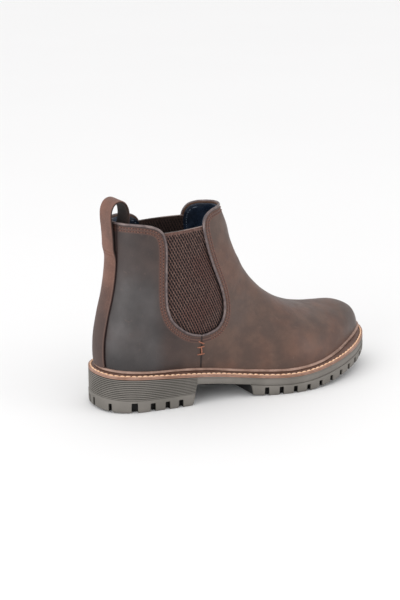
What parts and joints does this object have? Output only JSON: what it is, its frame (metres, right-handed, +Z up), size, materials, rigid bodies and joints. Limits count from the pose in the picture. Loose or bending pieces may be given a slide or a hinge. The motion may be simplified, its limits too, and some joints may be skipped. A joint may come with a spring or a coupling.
{
  "type": "chelsea boot",
  "caption": "Pull-on leather ankle boot with elastic side gussets, back pull loop, stitched welt and lugged rubber sole with a heel.",
  "frame": {"origin": "centre of the bounding box at the ground, under the sole", "axes": "+X from heel to toe, +Z up, +Y towards the medial side of this right boot"},
  "size_m": [0.2995, 0.1171, 0.1937],
  "materials": {
    "upper_leather": "waxed matte",
    "fold_leather": "burnished",
    "strap_leather": "nubuck",
    "gusset_elastic": "woven",
    "lining_leather": "glossy",
    "stiffener_board": "pressed fibre",
    "footbed_leather": "smooth",
    "cork": "granular",
    "steel": "brushed",
    "welt_tan": "smooth",
    "thread_light": "waxed thread",
    "thread_orange": "waxed thread",
    "sole_rubber": "moulded matte"
  },
  "bodies": {
    "boot": {"vamp": "upper_leather", "quarter_lateral": "upper_leather", "quarter_medial": "upper_leather", "gusset_lateral": "gusset_elastic", "gusset_medial": "gusset_elastic", "quarter_fold_lateral": "fold_leather", "quarter_fold_medial": "fold_leather", "vamp_fold_lateral": "fold_leather", "vamp_fold_medial": "fold_leather", "vamp_lining": "lining_leather", "quarter_lining_lateral": "lining_leather", "quarter_lining_medial": "lining_leather", "heel_counter": "stiffener_board", "toe_puff": "stiffener_board", "back_strap": "strap_leather", "strap_inner_end": "strap_leather", "rand": "welt_tan", "welt": "welt_tan", "welt_thread": "thread_light", "insole_board": "stiffener_board", "footbed": "footbed_leather", "cork_filler": "cork", "shank": "steel", "midsole": "sole_rubber", "outsole_forepart": "sole_rubber", "heel_block": "sole_rubber", "heel_tread": "sole_rubber", "seam_tack_lateral": "thread_orange", "seam_tack_medial": "thread_orange"},
    "front_shaft": {"vamp_shaft": "upper_leather", "collar_fold_front": "fold_leather", "front_facing": "lining_leather"},
    "pull_loop": {"pull_loop": "strap_leather"}
  },
  "joints": [
    {"name": "front_shaft_flex", "type": "hinge", "parent": "boot", "child": "front_shaft", "pos_m": [0.0074, 0.0048, 0.1178], "axis": [0, 1, 0], "range_deg": [0, 12], "stiffness_Nm_per_rad": 1.5, "deforming": ["gusset_lateral", "gusset_medial"]},
    {"name": "pull_loop_fold", "type": "hinge", "parent": "boot", "child": "pull_loop", "pos_m": [-0.1329, 0.0048, 0.1486], "axis": [0, 1, 0], "range_deg": [-25, 1.5], "stiffness_Nm_per_rad": 0.05}
  ]
}
